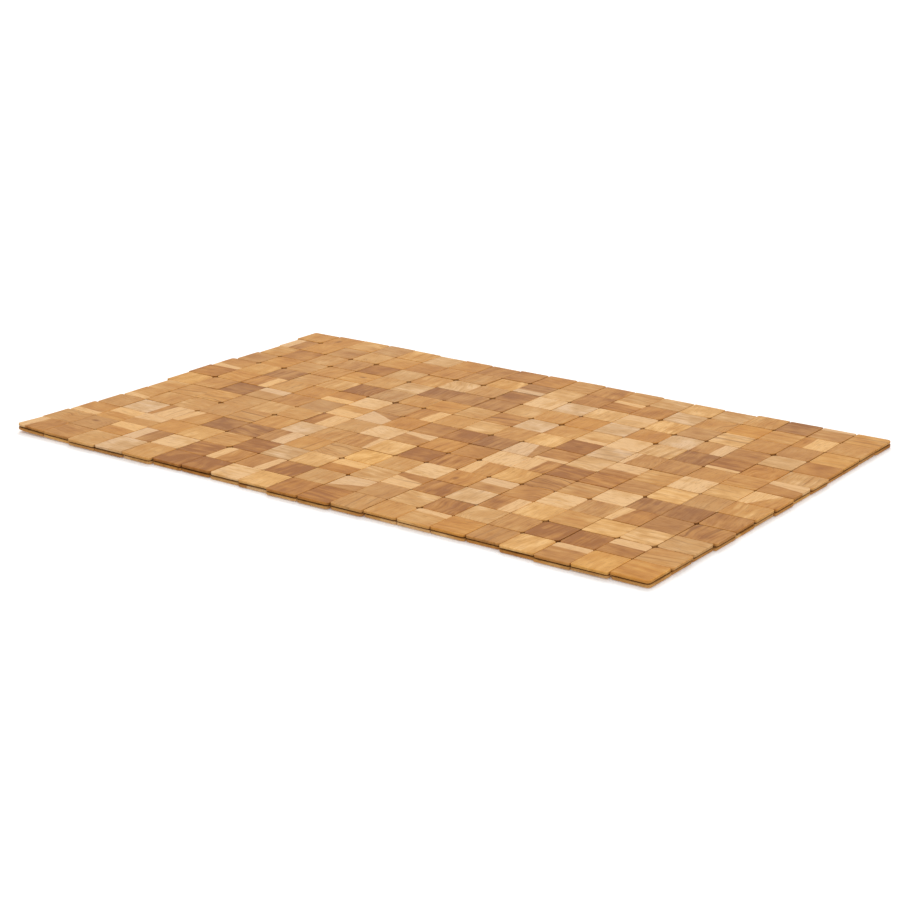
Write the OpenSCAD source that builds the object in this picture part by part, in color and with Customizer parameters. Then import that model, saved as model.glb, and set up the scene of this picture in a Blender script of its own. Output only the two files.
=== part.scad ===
// Bath mat of square teak tiles, laid in a grid on both faces of one cloth core.
// The mat lies flat: X runs along its length, Y across its width, and z = 0 is the floor.
// Each column of tiles is a leaf. The cloth in the seam between two columns is the hinge
// that lets the mat roll up.

/* [Mat] */
// Columns of tiles along the length
cols = 20; // [4:2:20]
// Tiles in each column, across the width
rows = 13; // [3:2:15]
// Spacing of the tile grid, both ways
pitch = 40; // [32:1:50]

/* [Tiles] */
// Thickness of a tile
tile_t = 3.1; // [2:0.1:5]
// Narrowest gap that two tiles leave between them
min_gap = 0.42; // [0.3:0.02:2]
// Most free play that a hand-laid tile has in its place
play = 0.2; // [0.05:0.05:1]
// Most that the seam between two rows steps aside from one column to the next
jog = 0.8; // [0:0.1:1.5]
// Radius of a tile's upright corners
corner_r = 2; // [1.5:0.5:6]
// Width of the bevel round a tile's outer face
bevel = 1; // [0.3:0.1:1.2]
// How far the longest border tile of each side stands out past the grid
overhang = 4; // [0:0.5:6]
// How strongly the mat's outline waves in and out, 0 being straight
waviness = 1; // [0:0.1:1]
// Most that a border tile is out of line with that wave
wander = 1.5; // [0:0.25:2]
// Most that a bottom border tile is out of line with the top one over it
mismatch = 1; // [0:0.2:2]

/* [Core] */
// Thickness of the cloth core
core_t = 1.4; // [0.8:0.1:3]
// How far the cloth stops short of the border tile that stands out least
core_groove = 2; // [1:0.5:5]
// Slit between two strips of the cloth, which leaves each seam free to bend
seam_slit = 0.3; // [0.2:0.05:0.6]

/* [Hidden] */
$fn = 32;
least_play = 0.02;
length = cols * pitch;
width = rows * pitch;
teak = ["burlywood", "peru", "sandybrown", "tan", "navajowhite"];

// Two faces of tiles: the first is walked on, the second lies on the floor
TOP = 0;
BOTTOM = 1;
face_names = ["top_tiles_", "bottom_tiles_"];

// Random seeds, one list for each thing that varies from tile to tile. A face's own seed is added.
play_seed = 11;
shift_x_seed = 23;
shift_y_seed = 37;
turn_seed = 41;
tone_seed = 53;
jog_seed = 59;
border_seed = 67;

// The slow wave of each side's outline: how far it swings either way, how many tiles a whole
// swing takes, and the tile, from the front left corner on, where it first stands out most
DEPTH = 0;
PERIOD = 1;
CREST = 2;
left_wave = [4, 6, 1];
right_wave = [1, 13, 6];
front_wave = [3, 7.5, 2.5];
back_wave = [2, 7.5, 2.5];

function two_digits(n) = str(n < 10 ? "0" : "", n);

// One value for each tile of a face
function per_tile(low, high, seed, face) = rands(low, high, cols * rows, seed + face);

plays = [for (face = [TOP, BOTTOM]) per_tile(least_play, play, play_seed, face)];
shifts_x = [for (face = [TOP, BOTTOM]) per_tile(-1, 1, shift_x_seed, face)];
shifts_y = [for (face = [TOP, BOTTOM]) per_tile(-1, 1, shift_y_seed, face)];
turns = [for (face = [TOP, BOTTOM]) per_tile(-1, 1, turn_seed, face)];
tones = [for (face = [TOP, BOTTOM]) per_tile(0, len(teak), tone_seed, face)];
// Each tile's front edge is moved by its step, and so is the back edge of the tile in front of it
steps = [for (face = [TOP, BOTTOM]) per_tile(-jog, jog, jog_seed, face)];

// How far each border tile of one side stands out, on both faces: the longest top tile reaches the
// full overhang, one with a minus stops short of the grid, and each bottom tile follows the top
// one over it, less the mismatch
function border(wave, count, seed) =
    let (
        stray = rands(-wander, wander, count, seed),
        off = rands(-mismatch, mismatch, count, seed + 1),
        line = [
            for (i = [0 : count - 1])
                waviness * wave[DEPTH] * cos(360 * (i - wave[CREST]) / wave[PERIOD]) + stray[i]
        ],
        top = [for (out = line) out - max(line) + overhang]
    )
    [top, [for (i = [0 : count - 1]) min(overhang, top[i] + off[i])]];

left_out = border(left_wave, rows, border_seed);
right_out = border(right_wave, rows, border_seed + 2);
front_out = border(front_wave, cols, border_seed + 4);
back_out = border(back_wave, cols, border_seed + 6);
borders = concat(left_out, right_out, front_out, back_out);
// How far the cloth stops short of the grid's edge
core_inset = core_groove + max(0, -min([for (side = borders) min(side)]));

// A rectangle with round corners, centred
module rounded_plate(size_x, size_y) {
    square([size_x - 2 * corner_r, size_y], center = true);
    square([size_x, size_y - 2 * corner_r], center = true);
    for (sx = [-1, 1], sy = [-1, 1])
        translate([sx * (size_x / 2 - corner_r), sy * (size_y / 2 - corner_r)])
            circle(corner_r);
}

// One tile: glued face at z = 0, bevelled outer face at z = tile_t
module tile(size_x, size_y) {
    roof_x = sqrt(2) * (size_x / 2 + tile_t - bevel);
    roof_y = sqrt(2) * (size_y / 2 + tile_t - bevel);
    intersection() {
        linear_extrude(tile_t) rounded_plate(size_x, size_y);
        rotate([0, 45, 0]) cube([roof_x, 2 * size_y, roof_x], center = true);
        rotate([45, 0, 0]) cube([2 * size_x, roof_y, roof_y], center = true);
    }
}

// The tile of column c and row r, counted from 0, in its place on one face.
// A tile with more play is smaller, and sits more askew.
module laid_tile(face, c, r) {
    i = c * rows + r;
    slack = plays[face][i];
    half = (pitch - min_gap) / 2 - slack;
    left = -half - (c == 0 ? left_out[face][r] : 0);
    right = half + (c == cols - 1 ? right_out[face][r] : 0);
    front = -half + (r == 0 ? -front_out[face][c] : steps[face][i]);
    back = half + (r == rows - 1 ? back_out[face][c] : steps[face][i + 1]);
    askew = asin(slack / 2 / (pitch / 2 + overhang)) * turns[face][i];
    color(teak[floor(tones[face][i])])
        translate([
            (c + 0.5) * pitch - length / 2 + shifts_x[face][i] * slack / 2,
            (r + 0.5) * pitch - width / 2 + shifts_y[face][i] * slack / 2,
            0
        ])
            rotate(askew)
                translate([(left + right) / 2, (front + back) / 2, 0])
                    tile(right - left, back - front);
}

// One column of tiles on the face that is walked on
module top_tiles(c) {
    translate([0, 0, tile_t + core_t])
        for (r = [0 : rows - 1]) laid_tile(TOP, c, r);
}

// One column of tiles on the face that lies on the floor
module bottom_tiles(c) {
    translate([0, 0, tile_t])
        mirror([0, 0, 1])
            for (r = [0 : rows - 1]) laid_tile(BOTTOM, c, r);
}

// The cloth that one column's tiles are glued to
module core_strip(c) {
    from_x = c * pitch - length / 2 + (c == 0 ? core_inset : seam_slit / 2);
    to_x = (c + 1) * pitch - length / 2 - (c == cols - 1 ? core_inset : seam_slit / 2);
    color("saddlebrown")
        translate([from_x, core_inset - width / 2, tile_t])
            cube([to_x - from_x, width - 2 * core_inset, core_t]);
}

for (c = [0 : cols - 1]) {
    name = two_digits(c + 1);
    top_tiles(c);
    bottom_tiles(c);
    core_strip(c);
}
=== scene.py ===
"""Bath mat of teak tiles on a cloth core: the finished meshes, materials, light and camera.

Every tile takes its place, size and turn from the solid that stands for it in the frame, and
every length in the classes below is in millimetres. Metres appear only where a mesh is made.
"""
import logging
import math
import random
from dataclasses import dataclass, field, replace
from enum import Enum
from functools import partial
from typing import Any

import bmesh
import bpy
import numpy as np
from mathutils import Matrix, Vector, noise


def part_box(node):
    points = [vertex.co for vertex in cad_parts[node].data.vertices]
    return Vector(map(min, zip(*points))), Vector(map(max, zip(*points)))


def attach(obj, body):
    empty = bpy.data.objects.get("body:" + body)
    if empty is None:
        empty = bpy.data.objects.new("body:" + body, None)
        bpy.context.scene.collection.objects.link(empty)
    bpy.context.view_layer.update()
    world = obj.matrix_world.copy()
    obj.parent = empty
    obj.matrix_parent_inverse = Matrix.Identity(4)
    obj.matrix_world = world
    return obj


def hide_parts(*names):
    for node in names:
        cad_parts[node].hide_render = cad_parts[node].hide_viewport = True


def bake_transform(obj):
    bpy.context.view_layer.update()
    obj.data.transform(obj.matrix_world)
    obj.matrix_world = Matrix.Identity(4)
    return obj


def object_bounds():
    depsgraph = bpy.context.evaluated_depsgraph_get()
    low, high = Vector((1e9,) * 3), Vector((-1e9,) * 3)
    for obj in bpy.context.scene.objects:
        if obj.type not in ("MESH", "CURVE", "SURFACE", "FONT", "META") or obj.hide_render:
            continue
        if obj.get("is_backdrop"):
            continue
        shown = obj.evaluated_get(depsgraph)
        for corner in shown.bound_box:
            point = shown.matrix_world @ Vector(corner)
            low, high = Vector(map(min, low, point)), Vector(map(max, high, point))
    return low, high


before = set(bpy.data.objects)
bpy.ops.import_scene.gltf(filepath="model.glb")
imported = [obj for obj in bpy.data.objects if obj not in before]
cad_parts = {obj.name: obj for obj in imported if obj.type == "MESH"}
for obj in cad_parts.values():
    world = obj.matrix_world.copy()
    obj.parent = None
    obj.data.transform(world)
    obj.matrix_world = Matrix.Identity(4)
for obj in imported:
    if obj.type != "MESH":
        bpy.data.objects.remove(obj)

log = logging.getLogger("bath_mat")

MM = 0.001
RIGHT_ANGLE = math.pi / 2
HALF_TILE = 20.0
QUARTERS = ((1, 1), (-1, 1), (-1, -1), (1, -1))  # a tile's corners, in turn
NO_SAPWOOD = -1000.0
FAR_OFF = 400.0  # where the knot of a tile without one is put, mm from its middle
NO_KNOT = 0.001  # its radius
STRIPE = 0.314  # spacing of a wave texture's stripes at a scale of 1


class Face(Enum):
    """The two faces of the mat that tiles are laid on."""

    TOP = "top"
    BOTTOM = "bottom"


class Figure(Enum):
    """What a tile's cut shows."""

    PLAIN = "plain"
    SAPWOOD = "sapwood"
    STREAKED = "streaked"
    KNOTTY = "knotty"


class Side(Enum):
    """A side of a tile, numbered by its quarter turns from +X."""

    RIGHT = 0
    BACK = 1
    LEFT = 2
    FRONT = 3


class Shade(Enum):
    """The shade of a tile that stands out, as its tone and its tint."""

    BROWN = (0.05, -0.2)
    GREY_BROWN = (0.1, 1.7)
    PALE = (0.98, 0.3)
    SILVER = (0.88, 2.4)
    GOLDEN = (0.84, -1.3)


@dataclass(frozen=True)
class TwoToned:
    """A tile cut across the border of the sapwood, so that one side of it is pale."""

    side: Side
    share: float  # of the tile that is pale
    slant: float = 0.0  # of the border, degrees


# Tiles of the upper face that stand out, by column from 1 at the left and row from 0 at the front
SHADES: dict[Shade, tuple[tuple[int, int], ...]] = {
    Shade.BROWN: ((7, 2), (6, 1), (9, 1), (6, 0), (7, 0), (17, 1), (18, 1), (14, 7), (15, 5), (11, 6)),
    Shade.GREY_BROWN: ((3, 6), (5, 3), (6, 3), (8, 9), (12, 6), (17, 8), (18, 4), (19, 4), (18, 12)),
    Shade.PALE: ((7, 7), (5, 1), (8, 0), (12, 3), (13, 5), (15, 8), (16, 3), (17, 4), (11, 10), (18, 6)),
    Shade.SILVER: ((2, 3), (4, 0), (7, 4), (12, 8), (12, 10), (14, 9), (15, 7), (16, 9)),
    Shade.GOLDEN: ((9, 0), (13, 7), (15, 10), (16, 2), (17, 0), (18, 5)),
}
TWO_TONED: dict[tuple[int, int], TwoToned] = {
    (3, 7): TwoToned(Side.RIGHT, 0.35),
    (6, 7): TwoToned(Side.FRONT, 0.35),
    (7, 5): TwoToned(Side.RIGHT, 0.55),
    (7, 3): TwoToned(Side.RIGHT, 0.45),
    (3, 3): TwoToned(Side.RIGHT, 0.75, -8),
    (8, 1): TwoToned(Side.RIGHT, 0.3, -6),
    (7, 1): TwoToned(Side.LEFT, 0.35),
    (4, 1): TwoToned(Side.LEFT, 0.45),
    (8, 6): TwoToned(Side.FRONT, 0.7, -25),
    (10, 2): TwoToned(Side.BACK, 0.45),
    (10, 5): TwoToned(Side.BACK, 0.35, -11),
    (11, 1): TwoToned(Side.BACK, 0.65, 22),
    (12, 2): TwoToned(Side.FRONT, 0.6, -14),
    (13, 6): TwoToned(Side.LEFT, 0.7, 15),
    (14, 5): TwoToned(Side.LEFT, 0.5),
    (14, 6): TwoToned(Side.FRONT, 0.2),
    (15, 2): TwoToned(Side.RIGHT, 0.4),
    (16, 6): TwoToned(Side.BACK, 0.6),
    (17, 9): TwoToned(Side.RIGHT, 0.4),
    (18, 0): TwoToned(Side.BACK, 0.25),
    (18, 3): TwoToned(Side.LEFT, 0.3, -7),
    (19, 1): TwoToned(Side.BACK, 0.4),
    (19, 11): TwoToned(Side.RIGHT, 0.65),
    (20, 6): TwoToned(Side.LEFT, 0.5, -28),
    (20, 7): TwoToned(Side.BACK, 0.4, -12),
}
KNOTTY_TILES = ((2, 1), (13, 3))
KNOT_OFFSET = (-4.0, 5.0)  # of such a tile's knot from its middle, mm
KNOT_RADIUS = 2.6
STREAKED_TILES = ((20, 3), (15, 4), (17, 5), (11, 8))


def linear(hex_colour: str) -> tuple[float, float, float, float]:
    """Turn an sRGB hex colour to the linear values that a shader takes.

    Args:
        hex_colour: a colour such as "#c08a56".

    Returns:
        Red, green, blue and an alpha of 1.
    """
    values = [int(hex_colour[i:i + 2], 16) / 255 for i in (1, 3, 5)]
    red, green, blue = (v / 12.92 if v <= 0.04045 else ((v + 0.055) / 1.055) ** 2.4 for v in values)
    return red, green, blue, 1.0


def add_node(
    tree: bpy.types.NodeTree,
    kind: str,
    settings: dict[str, Any] | None = None,
    inputs: dict[int | str, Any] | None = None,
) -> bpy.types.Node:
    """Add one node with its settings, its input values and its links.

    Args:
        tree: the node tree to add to.
        kind: the node's type name.
        settings: properties of the node itself.
        inputs: a value or an output socket for each named or numbered input.

    Returns:
        The new node.
    """
    node = tree.nodes.new(kind)
    for name, value in (settings or {}).items():
        setattr(node, name, value)
    for socket, value in (inputs or {}).items():
        if isinstance(value, bpy.types.NodeSocket):
            tree.links.new(value, node.inputs[socket])
        else:
            node.inputs[socket].default_value = value
    return node


def set_stops(ramp: bpy.types.Node, stops: dict[float, str]) -> None:
    """Give a colour ramp its stops.

    Args:
        ramp: the colour ramp node.
        stops: an sRGB hex colour for each place from 0 to 1, in rising order.
    """
    elements = ramp.color_ramp.elements
    while len(elements) < len(stops):
        elements.new(0.5)
    for element, (place, colour) in zip(elements, stops.items(), strict=True):
        element.position = place
        element.color = linear(colour)


@dataclass(frozen=True)
class TeakFinish:
    """Teak, sawn across into thin tiles, sanded and wiped with oil.

    Sawing shows the eye straight growth bands, and each tile comes from another board, so tone
    and grain direction jump from tile to tile. Sanding leaves a soft sheen with no gloss coat.
    """

    name: str
    heartwood: dict[float, str] = field(
        default_factory=lambda: {
            0.0: "#996230",
            0.14: "#aa7239",
            0.33: "#b98144",
            0.53: "#c28c4d",
            0.7: "#c89659",
            0.86: "#d4a468",
            1.0: "#dfb37c",
        }
    )
    sapwood_dark: str = "#d3a36a"
    sapwood_pale: str = "#e0b580"
    streak: str = "#85552c"
    knot_heart: str = "#8c5a2e"
    band_width: float = 6.0  # a growth band on a flat-sawn face, mm
    band_length: float = 60.0
    fibre_width: float = 1.4  # bundles of fibres, which are far finer one by one
    fibre_length: float = 26.0
    streak_width: float = 5.0
    streak_length: float = 130.0
    streak_edge: tuple[float, float] = (0.55, 0.95)  # where in its pattern a streak fades in
    patch: float = 22.0  # size of a slow drift of tone
    band_share: float = 0.5  # how far each pattern moves the tone
    fibre_share: float = 0.3
    patch_share: float = 0.75
    tint_share: float = 0.1  # how far one board is greyer or more orange than another
    red_share: float = 0.27  # how far the red moves, against the blue
    border_wobble: float = 2.2  # of the edge of the sapwood, mm
    border_blur: float = 0.7
    sway_length: float = 38.0  # of the slow sway of the grain, mm
    knot_stretch: float = 0.6  # how much a knot is drawn out along the grain, as a scale
    contrast: tuple[float, float] = (0.28, 0.72)  # noise that counts as a pattern's 0 and 1
    roughness: float = 0.66
    roughness_play: float = 0.08
    ior: float = 1.46  # dry oil on wood
    gloss: float = 0.08  # sanding leaves little of the oil's shine
    relief: float = 0.12  # depth of the sanded fibres, mm
    relief_strength: float = 0.6
    band_relief: float = 0.6  # depth of a growth band against a fibre's
    end_grain: float = 0.94  # brightness of cut fibres, which drink in the oil
    rubbed_highlight: float = 1.3  # brightness of the rounded edge: wear where sanding bites most, and a painted highlight
    groove_shade: float = 0.85  # painted shade: brightness beside the cloth, in the groove between the two layers of tiles
    pore_width: float = 0.8  # pores are 0.3 mm wide, drawn coarser so that they show
    pore_length: float = 9.0
    pore_share: float = 0.3
    pore_edge: tuple[float, float] = (0.72, 0.95)
    knot_edge: tuple[float, float] = (1.9, 0.2)  # where a knot fades in, in its own radii
    knot_share: float = 0.85

    def material(self) -> bpy.types.Material:
        """Build the node material.

        Returns:
            The material, which reads each tile's cut from the mesh's own attributes.
        """
        mat = bpy.data.materials.new(self.name)
        mat.use_nodes = True
        tree = mat.node_tree
        tree.nodes.clear()
        node = partial(add_node, tree)
        place, knot_distance, knot_size = self._grain_place(tree)
        bands = self._pattern(tree, place, self.band_length, self.band_width, 2.0)
        fibres = self._pattern(tree, place, self.fibre_length, self.fibre_width, 3.0)
        colour = self._colour(tree, place, bands, fibres, knot_distance, knot_size)
        height = node(
            "ShaderNodeMath",
            {"operation": "MULTIPLY_ADD"},
            {0: bands, 1: self.band_relief, 2: fibres},
        ).outputs[0]
        bump = node(
            "ShaderNodeBump",
            inputs={
                "Strength": self.relief_strength,
                "Distance": self.relief * MM,
                "Height": height,
            },
        )
        dullest, shiniest = (self.roughness + k * self.roughness_play for k in (1, -1))
        sheen = node("ShaderNodeMapRange", inputs={0: fibres, 3: dullest, 4: shiniest}).outputs[0]
        shader = node(
            "ShaderNodeBsdfPrincipled",
            inputs={
                "Base Color": colour,
                "Roughness": sheen,
                "IOR": self.ior,
                "Specular IOR Level": self.gloss,
                "Normal": bump.outputs[0],
            },
        )
        node("ShaderNodeOutputMaterial", inputs={"Surface": shader.outputs[0]})
        return mat

    def _grain_place(
        self, tree: bpy.types.NodeTree
    ) -> tuple[bpy.types.NodeSocket, bpy.types.NodeSocket, bpy.types.NodeSocket]:
        """Work out where a point lies in its board, with the grain bent round the tile's knot.

        Args:
            tree: the material's node tree.

        Returns:
            The place (along, across, deep), the distance from the knot and the knot's radius.
        """
        node = partial(add_node, tree)
        board = node("ShaderNodeAttribute", {"attribute_name": "board"}).outputs["Vector"]
        knot = node("ShaderNodeAttribute", {"attribute_name": "knot"}).outputs["Vector"]
        cut = node("ShaderNodeAttribute", {"attribute_name": "cut"}).outputs["Vector"]
        radius = node("ShaderNodeSeparateXYZ", inputs={0: knot}).outputs[2]
        wave_size = node("ShaderNodeSeparateXYZ", inputs={0: cut}).outputs[2]
        away = node(
            "ShaderNodeVectorMath", {"operation": "SUBTRACT"}, {0: board, 1: knot}
        ).outputs[0]
        flat = node(
            "ShaderNodeVectorMath", {"operation": "MULTIPLY"}, {0: away, 1: (self.knot_stretch, 1, 0)}
        ).outputs[0]
        distance = node("ShaderNodeVectorMath", {"operation": "LENGTH"}, {0: flat}).outputs[1]
        slow = node(
            "ShaderNodeTexNoise",
            inputs={"Vector": board, "Scale": 1 / self.sway_length, "Detail": 1.0},
        ).outputs[0]
        sway = node("ShaderNodeMath", {"operation": "SUBTRACT"}, {0: slow, 1: 0.5}).outputs[0]
        sway = node(
            "ShaderNodeMath", {"operation": "MULTIPLY"}, {0: sway, 1: wave_size}
        ).outputs[0]
        # Grain flows round a knot as water flows round a post.
        nearness = node(
            "ShaderNodeMath", {"operation": "DIVIDE"}, {0: radius, 1: distance}
        ).outputs[0]
        squared = node(
            "ShaderNodeMath", {"operation": "POWER", "use_clamp": True}, {0: nearness, 1: 2.0}
        ).outputs[0]
        along, across, deep = node("ShaderNodeSeparateXYZ", inputs={0: away}).outputs
        pushed = node(
            "ShaderNodeMath", {"operation": "MULTIPLY"}, {0: across, 1: squared}
        ).outputs[0]
        across = node(
            "ShaderNodeMath", {"operation": "SUBTRACT"}, {0: across, 1: pushed}
        ).outputs[0]
        across = node("ShaderNodeMath", {"operation": "ADD"}, {0: across, 1: sway}).outputs[0]
        place = node("ShaderNodeCombineXYZ", inputs={0: along, 1: across, 2: deep}).outputs[0]
        return place, distance, radius

    def _pattern(
        self,
        tree: bpy.types.NodeTree,
        place: bpy.types.NodeSocket,
        length: float,
        width: float,
        detail: float,
    ) -> bpy.types.NodeSocket:
        """Draw streaks that run with the grain.

        Args:
            tree: the material's node tree.
            place: the place in the board.
            length: a streak's length along the grain, mm.
            width: its width across the grain, mm.
            detail: how many finer layers it has.

        Returns:
            A value from 0 to 1.
        """
        node = partial(add_node, tree)
        stretched = node(
            "ShaderNodeVectorMath",
            {"operation": "MULTIPLY"},
            {0: place, 1: (1 / length, 1 / width, 1 / width)},
        ).outputs[0]
        raw = node(
            "ShaderNodeTexNoise",
            inputs={"Vector": stretched, "Scale": 1.0, "Detail": detail, "Roughness": 0.55},
        ).outputs[0]
        least, most = self.contrast
        return node("ShaderNodeMapRange", inputs={0: raw, 1: least, 2: most}).outputs[0]

    def _colour(
        self,
        tree: bpy.types.NodeTree,
        place: bpy.types.NodeSocket,
        bands: bpy.types.NodeSocket,
        fibres: bpy.types.NodeSocket,
        knot_distance: bpy.types.NodeSocket,
        knot_size: bpy.types.NodeSocket,
    ) -> bpy.types.NodeSocket:
        """Mix the tile's colour from its heartwood, sapwood, streaks, knot and worn edges, with a
        painted highlight on the rounded edges and painted shade beside the cloth.

        Args:
            tree: the material's node tree.
            place: the place in the board.
            bands: the growth bands.
            fibres: the fine fibres.
            knot_distance: distance from the tile's knot, mm.
            knot_size: the knot's radius, mm.

        Returns:
            The colour.
        """
        node = partial(add_node, tree)
        cut = node("ShaderNodeAttribute", {"attribute_name": "cut"}).outputs["Vector"]
        figure = node("ShaderNodeAttribute", {"attribute_name": "figure"}).outputs["Vector"]
        tone, streaks, _ = node("ShaderNodeSeparateXYZ", inputs={0: cut}).outputs
        banded, fibrous, tint = node("ShaderNodeSeparateXYZ", inputs={0: figure}).outputs
        drift = node(
            "ShaderNodeTexNoise",
            inputs={"Vector": place, "Scale": 1 / self.patch, "Detail": 2.0},
        ).outputs[0]
        for pattern, share, strength in (
            (bands, self.band_share, banded),
            (fibres, self.fibre_share, fibrous),
            (drift, self.patch_share, 1.0),
        ):
            shift = node(
                "ShaderNodeMath",
                {"operation": "MULTIPLY_ADD"},
                {0: pattern, 1: share, 2: -share / 2},
            ).outputs[0]
            tone = node(
                "ShaderNodeMath",
                {"operation": "MULTIPLY_ADD"},
                {0: shift, 1: strength, 2: tone},
            ).outputs[0]
        heart = node("ShaderNodeValToRGB", inputs={0: tone})
        set_stops(heart, self.heartwood)
        colour = self._beside_sapwood(tree, heart.outputs[0], fibres, drift)
        core = node(
            "ShaderNodeMath", {"operation": "DIVIDE"}, {0: knot_distance, 1: knot_size}
        ).outputs[0]
        colour = self._marked(tree, colour, place, streaks, core)
        return self._tinted(tree, self._worn_and_painted_light(tree, colour), tint)

    def _beside_sapwood(
        self,
        tree: bpy.types.NodeTree,
        heart: bpy.types.NodeSocket,
        fibres: bpy.types.NodeSocket,
        drift: bpy.types.NodeSocket,
    ) -> bpy.types.NodeSocket:
        """Turn the heartwood to pale sapwood past the border between them.

        Args:
            tree: the material's node tree.
            heart: the heartwood's colour.
            fibres: the fine fibres.
            drift: the slow drift of tone, which also makes the border wobble.

        Returns:
            The colour.
        """
        node = partial(add_node, tree)
        sap = node("ShaderNodeAttribute", {"attribute_name": "sap"}).outputs["Fac"]
        pale = node(
            "ShaderNodeMix",
            {"data_type": "RGBA"},
            {0: fibres, 6: linear(self.sapwood_dark), 7: linear(self.sapwood_pale)},
        ).outputs[2]
        border = node(
            "ShaderNodeMath",
            {"operation": "MULTIPLY_ADD"},
            {0: drift, 1: self.border_wobble, 2: sap},
        ).outputs[0]
        low, high = (self.border_wobble / 2 + k * self.border_blur for k in (-1, 1))
        in_sap = node(
            "ShaderNodeMapRange",
            {"interpolation_type": "SMOOTHSTEP"},
            {0: border, 1: low, 2: high},
        ).outputs[0]
        return node(
            "ShaderNodeMix", {"data_type": "RGBA"}, {0: in_sap, 6: heart, 7: pale}
        ).outputs[2]

    def _marked(
        self,
        tree: bpy.types.NodeTree,
        colour: bpy.types.NodeSocket,
        place: bpy.types.NodeSocket,
        streaks: bpy.types.NodeSocket,
        core: bpy.types.NodeSocket,
    ) -> bpy.types.NodeSocket:
        """Draw the dark streaks, the pores and the knot.

        Args:
            tree: the material's node tree.
            colour: the wood's colour without them.
            place: the place in the board.
            streaks: how strong the tile's streaks are.
            core: the distance from the knot's middle, as a share of its radius.

        Returns:
            The colour.
        """
        node = partial(add_node, tree)
        wide = self._pattern(tree, place, self.streak_length, self.streak_width, 2.0)
        in_streak = node(
            "ShaderNodeMapRange",
            {"interpolation_type": "SMOOTHSTEP"},
            {0: wide, 1: self.streak_edge[0], 2: self.streak_edge[1]},
        ).outputs[0]
        in_streak = node(
            "ShaderNodeMath", {"operation": "MULTIPLY"}, {0: in_streak, 1: streaks}
        ).outputs[0]
        dashes = self._pattern(tree, place, self.pore_length, self.pore_width, 0.0)
        in_pore = node(
            "ShaderNodeMapRange",
            inputs={0: dashes, 1: self.pore_edge[0], 2: self.pore_edge[1], 4: self.pore_share},
        ).outputs[0]
        in_knot = node(
            "ShaderNodeMapRange",
            {"interpolation_type": "SMOOTHSTEP"},
            {0: core, 1: self.knot_edge[0], 2: self.knot_edge[1], 4: self.knot_share},
        ).outputs[0]
        marks = (
            (in_streak, self.streak),
            (in_pore, self.streak),
            (in_knot, self.knot_heart),
        )
        for share, mark in marks:
            colour = node(
                "ShaderNodeMix", {"data_type": "RGBA"}, {0: share, 6: colour, 7: linear(mark)}
            ).outputs[2]
        return colour

    def _worn_and_painted_light(
        self, tree: bpy.types.NodeTree, colour: bpy.types.NodeSocket
    ) -> bpy.types.NodeSocket:
        """Darken the cut ends, paint shade into the groove beside the cloth, and brighten the rounded
        edges for sanding wear and a painted highlight.

        Args:
            tree: the material's node tree.
            colour: the wood's colour.

        Returns:
            The colour.
        """
        node = partial(add_node, tree)
        # End grain darker; rounded edge brighter from wear and a painted highlight; painted shade beside
        # the cloth.
        for place, brightness in (
            ("end", self.end_grain),
            ("arris", self.rubbed_highlight),
            ("stain", self.groove_shade),
        ):
            share = node("ShaderNodeAttribute", {"attribute_name": place}).outputs["Fac"]
            shade = node(
                "ShaderNodeMapRange", inputs={0: share, 3: 1.0, 4: brightness}
            ).outputs[0]
            colour = node(
                "ShaderNodeVectorMath", {"operation": "SCALE"}, {0: colour, "Scale": shade}
            ).outputs[0]
        return colour

    def _tinted(
        self,
        tree: bpy.types.NodeTree,
        colour: bpy.types.NodeSocket,
        tint: bpy.types.NodeSocket,
    ) -> bpy.types.NodeSocket:
        """Make the tile greyer or more orange, as its board is.

        Args:
            tree: the material's node tree.
            colour: the wood's colour.
            tint: above 0 for a greyer tile, below 0 for a more orange one.

        Returns:
            The colour.
        """
        node = partial(add_node, tree)
        redder, bluer = (
            node(
                "ShaderNodeMath", {"operation": "MULTIPLY_ADD"}, {0: tint, 1: share, 2: 1.0}
            ).outputs[0]
            for share in (-self.tint_share * self.red_share, self.tint_share)
        )
        hue = node("ShaderNodeCombineXYZ", inputs={0: redder, 1: 1.0, 2: bluer}).outputs[0]
        return node(
            "ShaderNodeVectorMath", {"operation": "MULTIPLY"}, {0: colour, 1: hue}
        ).outputs[0]


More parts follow.
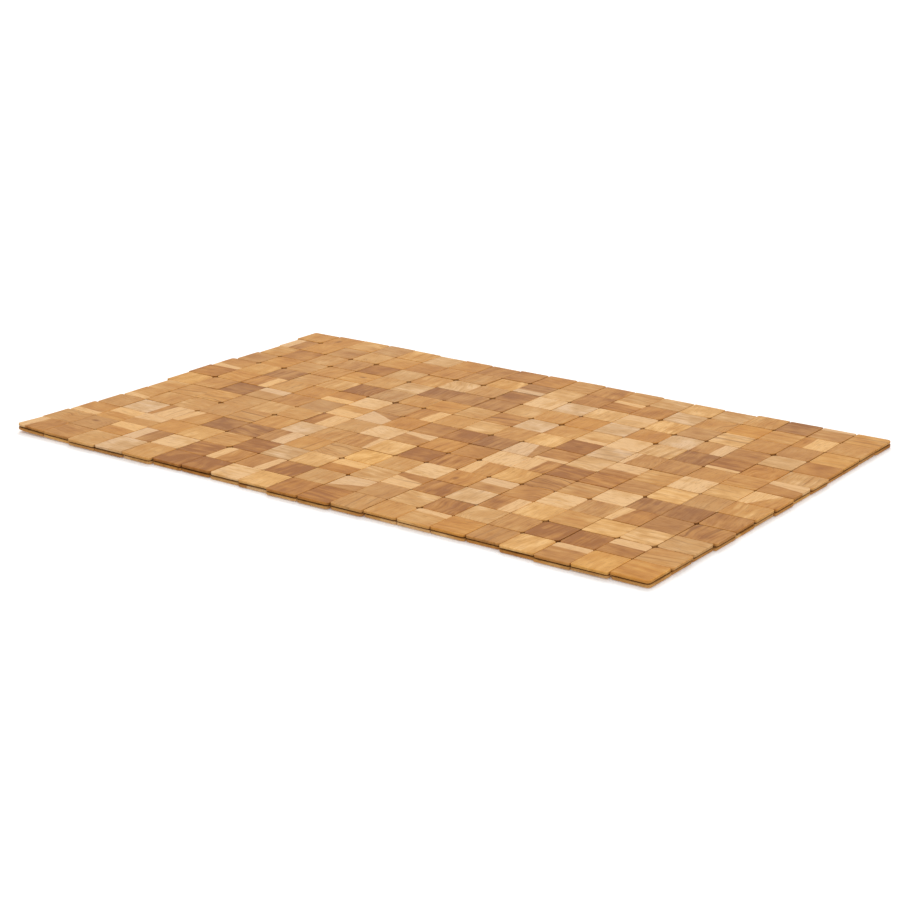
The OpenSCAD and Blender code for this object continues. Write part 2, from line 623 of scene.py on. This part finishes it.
@dataclass(frozen=True)
class ClothFinish:
    """Brown cotton cloth in a plain weave, soaked with glue.

    Weaving gives it a fine over-and-under grid, and the dried glue fills it and dulls it.
    """

    name: str = "woven_cotton"
    light_thread: str = "#a8743f"
    dark_thread: str = "#7a4f28"
    thread: float = 1.2  # threads are 0.5 mm apart, drawn coarser so that they show
    slub_share: float = 0.6  # how far thick and thin threads change the colour
    roughness: float = 0.9
    sheen: float = 0.3
    relief: float = 0.25

    def material(self) -> bpy.types.Material:
        """Build the node material.

        Returns:
            The material, which reads the cloth's own flat coordinates in millimetres.
        """
        mat = bpy.data.materials.new(self.name)
        mat.use_nodes = True
        tree = mat.node_tree
        tree.nodes.clear()
        node = partial(add_node, tree)
        lie = node("ShaderNodeAttribute", {"attribute_name": "cloth"}).outputs["Vector"]
        waves = [
            node(
                "ShaderNodeTexWave",
                {"wave_type": "BANDS", "bands_direction": direction},
                {"Vector": lie, "Scale": STRIPE / self.thread, "Distortion": 0.4, "Detail": 1.0},
            ).outputs["Fac"]
            for direction in ("X", "Y")
        ]
        weave = node("ShaderNodeMath", {"operation": "MULTIPLY"}, {0: waves[0], 1: waves[1]})
        slub = node("ShaderNodeTexNoise", inputs={"Vector": lie, "Scale": 0.35, "Detail": 3.0})
        mixed = node(
            "ShaderNodeMath",
            {"operation": "MULTIPLY_ADD", "use_clamp": True},
            {0: slub.outputs[0], 1: self.slub_share, 2: weave.outputs[0]},
        )
        colour = node(
            "ShaderNodeMix",
            {"data_type": "RGBA"},
            {0: mixed.outputs[0], 6: linear(self.dark_thread), 7: linear(self.light_thread)},
        )
        bump = node(
            "ShaderNodeBump",
            inputs={"Distance": self.relief * MM, "Height": weave.outputs[0]},
        )
        shader = node(
            "ShaderNodeBsdfPrincipled",
            inputs={
                "Base Color": colour.outputs[2],
                "Roughness": self.roughness,
                "Sheen Weight": self.sheen,
                "Normal": bump.outputs[0],
            },
        )
        node("ShaderNodeOutputMaterial", inputs={"Surface": shader.outputs[0]})
        return mat


@dataclass(frozen=True)
class TilePlace:
    """Where one tile lies, in millimetres, and its turn in radians."""

    x: float
    y: float
    turn: float
    size_x: float
    size_y: float


@dataclass(frozen=True)
class TileCut:
    """How one tile was cut from its board."""

    grain: float  # direction of the grain, radians from X
    tone: float
    streaks: float
    wave: float
    board: tuple[float, float, float]  # the tile's middle, in its board
    sap_border: float  # from the middle of the tile, across the grain. Far off means no sapwood
    sap_side: int
    sap_slant: float
    knot: tuple[float, float, float]  # along, across, radius
    banded: float
    fibrous: float
    tint: float


@dataclass(frozen=True)
class Lie:
    """How the mat lies: nearly flat, with long low waves and one corner that curls up a little."""

    corner: tuple[float, float]  # place of the curled corner, mm
    curl: float = 2.8
    reach: float = 100.0
    wave: float = 0.5
    wave_length: tuple[float, float] = (330.0, 240.0)
    wave_start: float = 0.6  # radians

    def lift(self, flat: np.ndarray) -> np.ndarray:
        """Give how far each point is raised off a flat floor.

        Args:
            flat: the points' places on the floor, mm.

        Returns:
            Each point's height, mm.
        """
        distance = np.linalg.norm(flat - self.corner, axis=1)
        curled = self.curl * np.clip(1 - distance / self.reach, 0, 1) ** 2
        phase = 2 * math.pi * flat / self.wave_length
        swell = np.sin(phase[:, 0] + self.wave_start) * np.cos(phase[:, 1])
        return curled + self.wave * (1 + swell) / 2


def tile_places(node_name: str) -> list[TilePlace]:
    """Read the places of a column's tiles from its CAD node.

    Args:
        node_name: the CAD node, whose tiles are separate closed solids.

    Returns:
        The tiles' places, from the front of the mat to its back.
    """
    mesh = bmesh.new()
    mesh.from_mesh(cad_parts[node_name].data)
    bmesh.ops.remove_doubles(mesh, verts=mesh.verts, dist=1e-6)
    places, seen = [], set()
    for first in mesh.verts:
        if first in seen:
            continue
        seen.add(first)
        island = [first]
        for vert in island:
            for edge in vert.link_edges:
                other = edge.other_vert(vert)
                if other not in seen:
                    seen.add(other)
                    island.append(other)
        places.append(place_of(island))
    mesh.free()
    return sorted(places, key=lambda place: place.y)


def place_of(island: list[bmesh.types.BMVert]) -> TilePlace:
    """Work out one tile's place from its corners.

    Args:
        island: the vertices of the tile's solid.

    Returns:
        The tile's middle, turn and size.
    """
    # A dictionary keeps the faces in order, so that equal sides always give the same choice.
    faces = dict.fromkeys(face for vert in island for face in vert.link_faces)
    upright = [face for face in faces if abs(face.normal.z) < 0.1]
    side = max(upright, key=lambda face: face.calc_area())
    turn = math.atan2(side.normal.y, side.normal.x)
    turn -= RIGHT_ANGLE * round(turn / RIGHT_ANGLE)
    points = np.array([vert.co[:2] for vert in island]) / MM
    axes = np.array([[math.cos(turn), math.sin(turn)], [-math.sin(turn), math.cos(turn)]])
    flat = points @ axes.T
    low, high = flat.min(0), flat.max(0)
    middle = (low + high) / 2 @ axes
    size = high - low
    return TilePlace(middle[0], middle[1], turn, size[0], size[1])


@dataclass
class TileLayer:
    """The tiles on one face of the mat, one mesh for each column."""

    face: Face
    glued: float  # height of the glued faces
    thickness: float
    finish: TeakFinish
    lie: Lie
    columns: int
    seed: int
    corner: tuple[float, float] = (0.6, 2.4)  # least and most radius of a crisp upright corner
    worn_corner: tuple[float, float] = (3.0, 6.4)  # the same, where four worn corners meet
    worn_share: float = 0.32  # of the places where four corners meet
    border_corner: tuple[float, float] = (0.8, 3.6)  # the same, of a corner on the mat's border
    ease: tuple[float, float] = (0.2, 0.85)  # least and most radius of the sanded edge
    widest_ease: float = 0.8  # the same, as a share of the tightest corner's radius
    saw_edge: float = 0.2  # small bevel that the saw leaves at the glued face
    saw_wobble: float = 0.12
    wobble_length: float = 9.0
    bevel_groove_shade: float = 0.6  # how far the painted shade beside the cloth reaches onto the saw's bevel
    thickness_play: float = 0.45
    crown: float = 0.06  # how much higher a tile's middle is than its edge
    tilt: float = 0.005
    corner_steps: int = 3
    side_steps: int = 3
    ease_steps: int = 4
    inner_rings: tuple[float, ...] = (0.96, 0.75, 0.5, 0.25)  # shares of the sanded edge's ring
    dark_side: tuple[float, float] = (0.12, 0.42)  # tone of the dark side of a two-toned tile
    tone_spread: float = 0.5
    even_spread: float = 0.34
    even_columns: int = 4
    figures: tuple[int, ...] = (60, 14, 25, 1)  # how common each Figure is, in a hundred tiles
    grain_slip: float = 4.0  # of the grain from the tile's side, degrees
    board_size: tuple[float, float, float] = (2000.0, 900.0, 300.0)
    sap_reach: tuple[float, float] = (-2.0, 13.0)  # of the sapwood's border from the middle
    sap_slip: float = 5.0  # of that border from the grain, degrees
    faint_streaks: tuple[float, float] = (0.0, 0.2)
    strong_streaks: tuple[float, float] = (0.2, 0.6)
    knot_reach: float = 12.0
    knot_radius: tuple[float, float] = (1.4, 3.0)
    straight_share: float = 0.75  # of the tiles whose grain runs nearly straight
    straight_wave: tuple[float, float] = (2.0, 9.0)
    curly_wave: tuple[float, float] = (14.0, 34.0)

    def build(self, column: int) -> bpy.types.Object:
        """Make the mesh of one column's tiles.

        Args:
            column: the column, counted from 1.

        Returns:
            The object, riding on its leaf and standing for its CAD node.
        """
        cad = f"{self.face.value}_tiles_{column:02d}"
        points, faces, flat_faces, attributes = [], [], [], {}
        places = tile_places(cad)
        for row, place in enumerate(places):
            luck = random.Random(self.seed + 100 * column + row)
            cut = self._cut(luck, column, row)
            radii = [
                self._radius((column - (x < 0), self.columns), (row + (y > 0), len(places)))
                for x, y in QUARTERS
            ]
            tile_points, tile_faces, tile_flat, values = self._tile(place, radii, cut, luck)
            first = sum(len(p) for p in points)
            flat_faces += [len(faces) + i for i in tile_flat]
            faces += [[first + i for i in f] for f in tile_faces]
            points.append(tile_points)
            for name, value in values.items():
                attributes.setdefault(name, []).append(value)
        mesh = bpy.data.meshes.new(f"teak_{self.face.value}_{column:02d}")
        mesh.from_pydata((np.concatenate(points) * MM).tolist(), [], faces)
        smooth = np.ones(len(faces), bool)
        smooth[flat_faces] = False
        mesh.polygons.foreach_set("use_smooth", smooth)
        for name, value in attributes.items():
            joined = np.concatenate(value).astype(np.float32)
            kind = "FLOAT_VECTOR" if joined.ndim == 2 else "FLOAT"
            slot = "vector" if joined.ndim == 2 else "value"
            mesh.attributes.new(name, kind, "POINT").data.foreach_set(slot, joined.ravel())
        mesh.validate()
        piece = bpy.data.objects.new(mesh.name, mesh)
        bpy.context.scene.collection.objects.link(piece)
        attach(piece, f"leaf_{column:02d}")
        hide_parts(cad)
        return piece

    def _cut(self, luck: random.Random, column: int, row: int) -> TileCut:
        """Choose how one tile was cut from its board.

        Args:
            luck: the tile's own seeded random numbers.
            column: the tile's column, counted from 1.
            row: its row, counted from 0.

        Returns:
            The cut.
        """
        figure = luck.choices(list(Figure), weights=self.figures)[0]
        grain = luck.choice((0.0, RIGHT_ANGLE)) + math.radians(luck.gauss(0, self.grain_slip))
        board = tuple(luck.uniform(0, size) for size in self.board_size)
        sap_border, sap_side = NO_SAPWOOD, luck.choice((-1, 1))
        if figure is Figure.SAPWOOD:
            sap_border = luck.uniform(*self.sap_reach)
        streaks = luck.uniform(*self.faint_streaks)
        if figure is Figure.STREAKED:
            streaks = luck.uniform(*self.strong_streaks)
        knot = (board[0] + FAR_OFF, board[1] + FAR_OFF, NO_KNOT)
        if figure is Figure.KNOTTY:
            knot = (
                board[0] + luck.uniform(-self.knot_reach, self.knot_reach),
                board[1] + luck.uniform(-self.knot_reach, self.knot_reach),
                luck.uniform(*self.knot_radius),
            )
        tone = 0.5 + self._spread(column) * luck.triangular(-1, 1)
        straight = luck.random() < self.straight_share
        cut = TileCut(
            grain=grain,
            tone=tone,
            streaks=streaks,
            wave=luck.uniform(*(self.straight_wave if straight else self.curly_wave)),
            board=board,
            sap_border=sap_border,
            sap_side=sap_side,
            sap_slant=math.radians(luck.gauss(0, self.sap_slip)),
            knot=knot,
            banded=luck.uniform(0.1, 1.0),
            fibrous=luck.uniform(0.2, 1.0) ** 2,
            tint=luck.gauss(0, 1),
        )
        return self._chosen(cut, (column, row)) if self.face is Face.TOP else cut

    def _spread(self, column: int) -> float:
        """Give how far the tones of a column's tiles spread: the first columns are more even."""
        return self.even_spread if column <= self.even_columns else self.tone_spread

    def _chosen(self, cut: TileCut, tile: tuple[int, int]) -> TileCut:
        """Change the cut of a tile that stands out.

        Args:
            cut: the cut that was drawn for it.
            tile: its column and row.

        Returns:
            The cut that it has.
        """
        whole = replace(cut, sap_border=NO_SAPWOOD)
        if tile in TWO_TONED:
            tones = TWO_TONED[tile]
            low, high = self.dark_side
            return replace(
                cut,
                grain=(tones.side.value - 1) * RIGHT_ANGLE,
                tone=low + (high - low) * cut.tone,
                sap_border=HALF_TILE * (1 - 2 * tones.share),
                sap_side=1,
                sap_slant=math.radians(tones.slant),
            )
        if tile in KNOTTY_TILES:
            along, across = (cut.board[axis] + KNOT_OFFSET[axis] for axis in (0, 1))
            knot = (along, across, KNOT_RADIUS)
            return replace(whole, tone=0.4, wave=12.0, knot=knot)
        if tile in STREAKED_TILES:
            return replace(whole, tone=0.3, streaks=0.8, wave=20.0)
        for shade, tiles in SHADES.items():
            if tile in tiles:
                tone, tint = shade.value
                return replace(whole, tone=tone, tint=tint, streaks=cut.streaks / 2)
        return cut

    def _radius(self, across: tuple[int, int], along: tuple[int, int]) -> float:
        """Choose how far the tiles' corners are rubbed round where seams cross.

        Args:
            across: the seam between columns, counted from 0 at the left border, and the last one.
            along: the seam between rows, counted from 0 at the front border, and the last one.

        Returns:
            The corners' radius.
        """
        luck = random.Random(self.seed * 7 + 100 * across[0] + along[0])
        on_border = [seam in (0, last) for seam, last in (across, along)]
        worn = all(on_border) or luck.random() < self.worn_share
        if any(on_border) and not all(on_border):
            return luck.uniform(*self.border_corner)
        return luck.uniform(*(self.worn_corner if worn else self.corner))

    def _outline(self, place: TilePlace, radii: list[float]) -> tuple[np.ndarray, np.ndarray]:
        """Draw a tile's outline: straight sides, and round corners.

        Args:
            place: the tile's place and size.
            radii: the radius of each corner, in the order of QUARTERS.

        Returns:
            The outline's points and outward directions, in the tile's own frame.
        """
        half = np.array([place.size_x, place.size_y]) / 2
        arcs, outward = [], []
        for quarter, (sign, radius) in enumerate(zip(QUARTERS, radii, strict=True)):
            centre = np.array(sign) * (half - radius)
            angles = RIGHT_ANGLE * (quarter + np.arange(self.corner_steps + 1) / self.corner_steps)
            ways = np.stack([np.cos(angles), np.sin(angles)], axis=1)
            arcs.append(centre + radius * ways)
            outward.append(ways)
        points, directions = [], []
        for quarter in range(4):
            start, end = arcs[quarter][-1], arcs[(quarter + 1) % 4][0]
            share = np.arange(1, self.side_steps)[:, None] / self.side_steps
            points += [arcs[quarter], start + (end - start) * share]
            straight = np.repeat(outward[quarter][-1:], self.side_steps - 1, axis=0)
            directions += [outward[quarter], straight]
        return np.concatenate(points), np.concatenate(directions)

    def _tile(
        self, place: TilePlace, radii: list[float], cut: TileCut, luck: random.Random
    ) -> tuple[np.ndarray, list[list[int]], list[int], dict[str, np.ndarray]]:
        """Make one tile: sawn sides, a sanded edge and a slightly crowned face.

        Args:
            place: the tile's place and size.
            radii: the radius of each corner, in the order of QUARTERS.
            cut: how it was cut from its board.
            luck: the tile's own seeded random numbers.

        Returns:
            Its points in millimetres, its faces, which of them are flat, and its attributes.
        """
        outline, outward = self._outline(place, radii)
        count = len(outline)
        thick = self.thickness - luck.uniform(0, self.thickness_play)
        # The sanded edge stays narrower than the tightest corner, which would fold over otherwise.
        room = min(radii) - self.saw_wobble
        ease = min(luck.uniform(*self.ease), self.widest_ease * room)
        lean = np.array([luck.uniform(-self.tilt, self.tilt) for _ in range(2)])
        uneven = [Vector((*p, cut.board[0])) / self.wobble_length for p in outline]
        wobble = np.array([0.5 + 0.5 * noise.noise(p) for p in uneven])
        sawn = outline - outward * (self.saw_wobble * wobble)[:, None]
        rings = [(sawn - outward * self.saw_edge, 0.0, 0.0), (sawn, self.saw_edge, 0.0)]
        for step in range(self.ease_steps + 1):
            angle = RIGHT_ANGLE * step / self.ease_steps
            inset = ease * (1 - math.cos(angle))
            height = thick - self.crown - ease * (1 - math.sin(angle))
            rings.append((sawn - outward * inset, height, math.sin(2 * angle)))
        edge = rings[-1][0]
        rings += [
            (edge * s, thick - self.crown * s * s, 0.0) for s in self.inner_rings
        ]
        flat = np.concatenate([r[0] for r in rings] + [np.zeros((1, 2))])
        height = np.concatenate([np.full(count, r[1]) for r in rings] + [[thick]])
        # arris marks the rounded edge, which the material brightens for sanding wear and a painted
        # highlight.
        arris = np.concatenate([np.full(count, r[2]) for r in rings] + [[0.0]])
        share = np.clip(height / thick, 0, 1)
        height = height + share * (flat @ lean) - self.tilt * HALF_TILE
        height[:count] = 0.0
        side_rings = 3
        grain = np.array([math.cos(cut.grain), math.sin(cut.grain)])
        end = np.zeros(len(flat))
        end[: side_rings * count] = np.tile(np.abs(outward @ grain), side_rings) ** 2
        # Painted shade: the glued face and the saw's bevel, in the groove beside the cloth, are
        # darkened.
        stain = np.zeros(len(flat))
        stain[:count] = 1.0
        stain[count : 2 * count] = self.bevel_groove_shade
        faces = [list(range(count - 1, -1, -1))]
        for ring in range(len(rings) - 1):
            low, high = ring * count, (ring + 1) * count
            for i in range(count):
                j = (i + 1) % count
                faces.append([low + i, low + j, high + j, high + i])
        last, peak = (len(rings) - 1) * count, len(flat) - 1
        faces += [[last + i, last + (i + 1) % count, peak] for i in range(count)]
        board = self._board(flat, height, cut)
        turned = self._turned(flat, place)
        up = 1.0 if self.face is Face.TOP else -1.0
        if self.face is Face.BOTTOM:
            faces = [f[::-1] for f in faces]
        points = np.column_stack([turned, self.glued + up * height + self.lie.lift(turned)])
        attributes = {
            "board": board,
            "cut": np.tile([cut.tone, cut.streaks, cut.wave], (len(flat), 1)),
            "knot": np.tile(cut.knot, (len(flat), 1)),
            "figure": np.tile([cut.banded, cut.fibrous, cut.tint], (len(flat), 1)),
            "sap": self._sap(flat, cut),
            "end": end,
            "arris": arris,
            "stain": stain,
        }
        return points, faces, [0], attributes

    def _board(self, flat: np.ndarray, height: np.ndarray, cut: TileCut) -> np.ndarray:
        """Give each point's place in the board that the tile was cut from.

        Args:
            flat: the points, from the tile's middle, mm.
            height: their heights, mm.
            cut: how the tile was cut from its board.

        Returns:
            The places (along, across, deep), mm.
        """
        c, s = math.cos(cut.grain), math.sin(cut.grain)
        along = flat @ np.array([c, s]) + cut.board[0]
        across = flat @ np.array([-s, c]) + cut.board[1]
        return np.column_stack([along, across, height + cut.board[2]])

    def _sap(self, flat: np.ndarray, cut: TileCut) -> np.ndarray:
        """Give each point's distance into the sapwood.

        Args:
            flat: the points, from the tile's middle, mm.
            cut: how the tile was cut from its board.

        Returns:
            The distances, mm.
        """
        if cut.sap_border == NO_SAPWOOD:
            return np.full(len(flat), NO_SAPWOOD)
        angle = cut.grain + cut.sap_slant
        across = flat @ np.array([-math.sin(angle), math.cos(angle)])
        return cut.sap_side * across - cut.sap_border

    def _turned(self, flat: np.ndarray, place: TilePlace) -> np.ndarray:
        """Lay a tile's points in their place on the mat."""
        c, s = math.cos(place.turn), math.sin(place.turn)
        return flat @ np.array([[c, s], [-s, c]]) + (place.x, place.y)


@dataclass
class ClothCore:
    """The cloth between the tiles, in strips that meet out of sight under the tiles.

    Each strip crosses one seam, with closer grid lines there for the bend. A piece can
    bend over one only.
    """

    finish: ClothFinish
    lie: Lie
    bend: float = 1.0  # half the width that bends at a seam
    length_step: float = 10.0
    fray: float = 0.5
    seed: int = 5

    def build(self, seam: int) -> bpy.types.Object:
        """Make the strip that crosses one seam.

        Args:
            seam: the seam, counted from 1, between the leaves of that number and the next.

        Returns:
            The strip.
        """
        nodes = [f"core_strip_{n:02d}" for n in (seam, seam + 1)]
        boxes = [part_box(n) for n in nodes]
        last = f"core_strip_{seam + 2:02d}"
        middle_x = (boxes[0][1].x + boxes[1][0].x) / 2 / MM
        left = (boxes[0][0].x + boxes[0][1].x) / 2 / MM
        right = (boxes[1][0].x + boxes[1][1].x) / 2 / MM
        if seam == 1:
            left = boxes[0][0].x / MM
        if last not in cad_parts:
            right = boxes[1][1].x / MM
        low, high = boxes[0][0] / MM, boxes[0][1] / MM
        xs = [left, (left + middle_x) / 2]
        xs += [middle_x + self.bend * k for k in (-1.5, -1.0, -0.5, 0.0, 0.5, 1.0, 1.5)]
        xs += [(right + middle_x) / 2, right]
        rows = round((high.y - low.y) / self.length_step)
        ys = [low.y + (high.y - low.y) * k / rows for k in range(rows + 1)]
        piece = self._slab(f"core_cloth_{seam:02d}", xs, ys, low.z, high.z)
        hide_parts(*([nodes[0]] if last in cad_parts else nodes))
        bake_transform(piece)
        return piece

    def _slab(
        self, name: str, xs: list[float], ys: list[float], bottom: float, top: float
    ) -> bpy.types.Object:
        """Make a thin closed slab on a grid, with a frayed edge at its front and back.

        Args:
            name: the piece's name.
            xs: the grid's lines across the mat, mm.
            ys: the grid's lines along it, mm.
            bottom: height of the under face, mm.
            top: height of the upper face, mm.

        Returns:
            The piece.
        """
        nx, ny = len(xs), len(ys)
        points, cloth = [], []
        for z in (bottom, top):
            for j, y in enumerate(ys):
                for x in xs:
                    give = noise.noise(Vector((x, y, self.seed + z)) / 3.0) * self.fray
                    edge = 1 if j == 0 else -1 if j == ny - 1 else 0
                    lift = self.lie.lift(np.array([[x, y]]))[0]
                    points.append((x * MM, (y + edge * abs(give)) * MM, (z + lift) * MM))
                    cloth.append((x, y, z))
        layer = nx * ny
        faces = []
        for j in range(ny - 1):
            for i in range(nx - 1):
                a = j * nx + i
                faces.append((a, a + nx, a + nx + 1, a + 1))
                faces.append(tuple(layer + k for k in (a, a + 1, a + nx + 1, a + nx)))
        rim = list(range(nx))
        rim += [j * nx + nx - 1 for j in range(1, ny)]
        rim += [(ny - 1) * nx + i for i in range(nx - 2, -1, -1)]
        rim += [j * nx for j in range(ny - 2, 0, -1)]
        for k, a in enumerate(rim):
            b = rim[(k + 1) % len(rim)]
            faces.append((a, b, layer + b, layer + a))
        mesh = bpy.data.meshes.new(name)
        mesh.from_pydata(points, [], faces)
        mesh.attributes.new("cloth", "FLOAT_VECTOR", "POINT").data.foreach_set(
            "vector", np.array(cloth, np.float32).ravel()
        )
        piece = bpy.data.objects.new(name, mesh)
        bpy.context.scene.collection.objects.link(piece)
        return piece


@dataclass
class Viewpoint:
    """The camera: where it looks, from where, and its lens."""

    azimuth: float = 35.40
    elevation: float = 17.49
    roll: float = 0.332
    target: tuple[float, float, float] = (21.9, -31.3, 0.0)
    distance: float = 2168.9
    lens: float = 80.77
    sensor: float = 36.0

    def place(self) -> None:
        """Make the camera and set it as the scene's."""
        azimuth, elevation, roll = (
            math.radians(v) for v in (self.azimuth, self.elevation, self.roll)
        )
        back = Vector(
            (
                math.sin(azimuth) * math.cos(elevation),
                -math.cos(azimuth) * math.cos(elevation),
                math.sin(elevation),
            )
        )
        right = Vector((0, 0, 1)).cross(back).normalized()
        up = back.cross(right)
        rolled_right = math.cos(roll) * right + math.sin(roll) * up
        rolled_up = -math.sin(roll) * right + math.cos(roll) * up
        turn = Matrix((rolled_right, rolled_up, back)).transposed().to_4x4()
        data = bpy.data.cameras.new("camera")
        data.lens = self.lens
        data.sensor_width = self.sensor
        data.clip_end = 100
        camera = bpy.data.objects.new("camera", data)
        camera.matrix_world = (
            Matrix.Translation(Vector(self.target) * MM + back * self.distance * MM) @ turn
        )
        bpy.context.scene.collection.objects.link(camera)
        bpy.context.scene.camera = camera


@dataclass
class Studio:
    """A plain pale floor in a bright tent of soft light, with a stronger panel behind the mat."""

    floor_half: float = 40.0  # metres
    floor_colour: str = "#fbfaf9"
    floor_drop: float = 0.0002  # keeps the floor just under the tiles
    floor_glow: float = 0.12  # a light table, which thins the shadow round the mat
    tent: str = "#ffffff"
    tent_strength: float = 0.712
    # Name, the way to the panel, its share of a white floor's brightness, how soft its shadows are
    panels: tuple[tuple[str, tuple[float, float, float], float, float], ...] = (
        ("back_panel", (-0.5, 0.75, 0.7), 0.30, 45.0),
        ("front_panel", (0.55, -0.5, 0.9), 0.13, 60.0),
    )

    def build(self) -> None:
        """Make the floor, the tent and the light panels."""
        self._floor()
        world = bpy.data.worlds.new("tent")
        world.use_nodes = True
        backdrop = world.node_tree.nodes["Background"]
        backdrop.inputs[0].default_value = linear(self.tent)
        backdrop.inputs[1].default_value = self.tent_strength
        bpy.context.scene.world = world
        for name, way, share, softness in self.panels:
            data = bpy.data.lights.new(name, "SUN")
            data.angle = math.radians(softness)
            data.energy = share * math.pi / Vector(way).normalized().z
            panel = bpy.data.objects.new(name, data)
            panel.rotation_euler = Vector(way).to_track_quat("Z", "Y").to_euler()
            bpy.context.scene.collection.objects.link(panel)
        bpy.context.scene.view_settings.view_transform = "Standard"

    def _floor(self) -> None:
        """Make the pale floor that the mat lies on."""
        mat = bpy.data.materials.new("painted_floor")
        mat.use_nodes = True
        shader = mat.node_tree.nodes["Principled BSDF"]
        shader.inputs["Base Color"].default_value = linear(self.floor_colour)
        shader.inputs["Roughness"].default_value = 0.8
        shader.inputs["Emission Color"].default_value = linear(self.tent)
        shader.inputs["Emission Strength"].default_value = self.floor_glow
        mesh = bpy.data.meshes.new("floor")
        h = self.floor_half
        corners = [(x, y, -self.floor_drop) for x, y in ((-h, -h), (h, -h), (h, h), (-h, h))]
        mesh.from_pydata(corners, [], [(0, 1, 2, 3)])
        mesh.materials.append(mat)
        floor = bpy.data.objects.new("floor", mesh)
        bpy.context.scene.collection.objects.link(floor)
        floor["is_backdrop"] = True


def main() -> None:
    """Build the mat, its light and its camera."""
    logging.basicConfig(level=logging.INFO, format="%(message)s")
    cad_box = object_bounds()
    Viewpoint().place()
    Studio().build()
    columns = sum(name.startswith("core_strip_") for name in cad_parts)
    cloth_low, cloth_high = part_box("core_strip_01")
    thickness = cloth_low.z / MM
    lie = Lie(corner=(cad_box[0][0] / MM, cad_box[0][1] / MM))
    teak = [TeakFinish(f"oiled_teak_{face.value}") for face in Face]
    layers = (
        TileLayer(Face.TOP, cloth_high.z / MM, thickness, teak[0], lie, columns, 4000),
        TileLayer(Face.BOTTOM, cloth_low.z / MM, thickness, teak[1], lie, columns, 9000),
    )
    for layer in layers:
        wood = layer.finish.material()
        for column in range(1, columns + 1):
            piece = layer.build(column)
            piece.data.materials.append(wood)
            log.info("%s: %d faces", piece.name, len(piece.data.polygons))
    core = ClothCore(ClothFinish(), lie)
    cotton = core.finish.material()
    for seam in range(1, columns):
        piece = core.build(seam)
        piece.data.materials.append(cotton)
        log.info("%s: %d faces", piece.name, len(piece.data.polygons))


if __name__ == "__main__":
    main()
